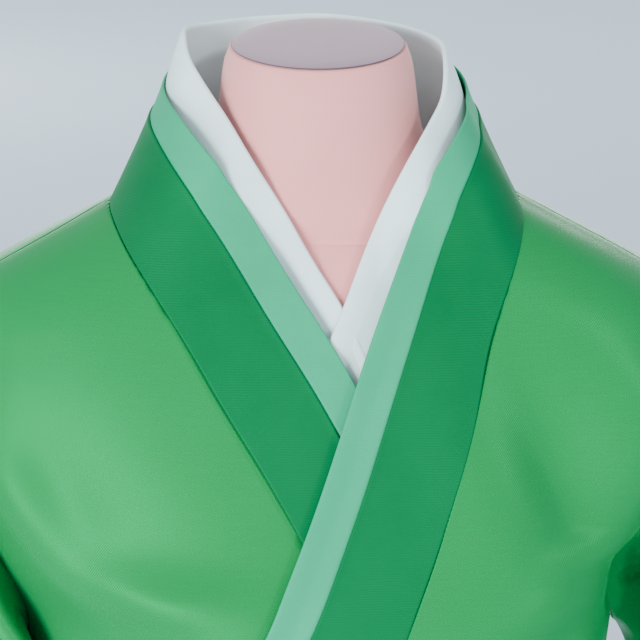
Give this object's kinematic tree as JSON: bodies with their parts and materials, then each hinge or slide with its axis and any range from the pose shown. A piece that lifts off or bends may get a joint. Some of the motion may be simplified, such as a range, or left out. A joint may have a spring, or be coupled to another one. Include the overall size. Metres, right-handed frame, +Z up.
{
  "type": "cross-collar hanfu robe with an inner collar on a dress form",
  "caption": "Full-length hanfu robe with a crossed two-tone collar over a white inner collar, worn by a limbless dress form on a round stand.",
  "frame": {"origin": "centre of the stand's underside, on the floor", "axes": "+Z up, the front faces -Y, +X to the wearer's left"},
  "size_m": [0.6336, 0.3963, 1.4505],
  "materials": {
    "satin_green": "bright green satin with a soft sheen",
    "collar_green": "dark green fine-ribbed cloth",
    "collar_mint": "mint green fine-ribbed cloth",
    "collar_white": "matt white plain weave",
    "form_jersey": "matt pink jersey",
    "form_cap": "matt grey felt",
    "stand_steel": "polished steel tube",
    "stand_paint": "white powder coat"
  },
  "bodies": {
    "root": {"front_left": "satin_green", "front_right": "satin_green", "back": "satin_green", "sleeve_left": "satin_green", "sleeve_right": "satin_green", "collar_dark": "collar_green", "collar_mint": "collar_mint", "collar_white": "collar_white", "tie_knot": "collar_green", "tie_end_front": "collar_green", "tie_end_back": "collar_green", "form_torso": "form_jersey", "form_cap": "form_cap", "stand_pole": "stand_steel", "stand_base": "stand_paint"}
  },
  "joints": []
}
